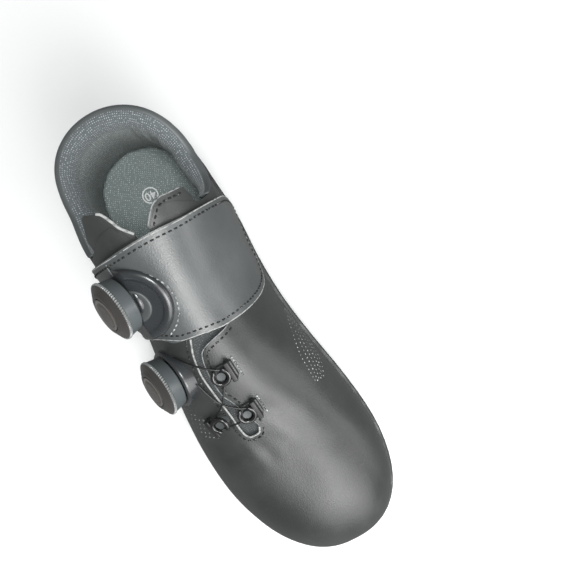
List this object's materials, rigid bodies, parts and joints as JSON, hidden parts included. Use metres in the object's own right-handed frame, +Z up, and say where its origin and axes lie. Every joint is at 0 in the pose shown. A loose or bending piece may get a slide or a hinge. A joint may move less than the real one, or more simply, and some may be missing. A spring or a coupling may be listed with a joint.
{
  "type": "cycling shoe",
  "caption": "Black road cycling shoe with a wide instep strap, two lace dials with thin wires, a padded mesh collar and a stiff ridged sole.",
  "frame": {"origin": "centre of the heel pad's ground face", "axes": "+X towards the toe, +Y towards the inner side of the foot, +Z up"},
  "size_m": [0.2732, 0.1005, 0.1187],
  "materials": {
    "leather": "satin synthetic leather with a fine grain",
    "mesh": "woven mesh, matte",
    "webbing": "textured webbing, matte",
    "plate": "matte nylon",
    "tread": "matte rubber",
    "plastic": "satin to gloss",
    "cap": "satin",
    "wire": "black coated steel lace"
  },
  "bodies": {
    "root": {"upper": "leather", "strap": "leather", "heel_counter": "leather", "collar_lining": "mesh", "insole": "mesh", "tongue": "webbing", "outsole": "plate", "heel_pad": "tread", "lug_ball_outer": "tread", "lug_ball_inner": "tread", "lug_toe": "tread", "upper_dial_base": "plastic", "upper_dial_knob": "plastic", "upper_dial_badge": "cap", "lower_dial_base": "plastic", "lower_dial_knob": "plastic", "lower_dial_badge": "cap", "guide_inner_upper": "plastic", "guide_inner_lower": "plastic", "guide_outer_lower": "plastic", "guide_outer_upper": "plastic", "lower_wire": "wire", "upper_wire": "wire"}
  },
  "joints": []
}
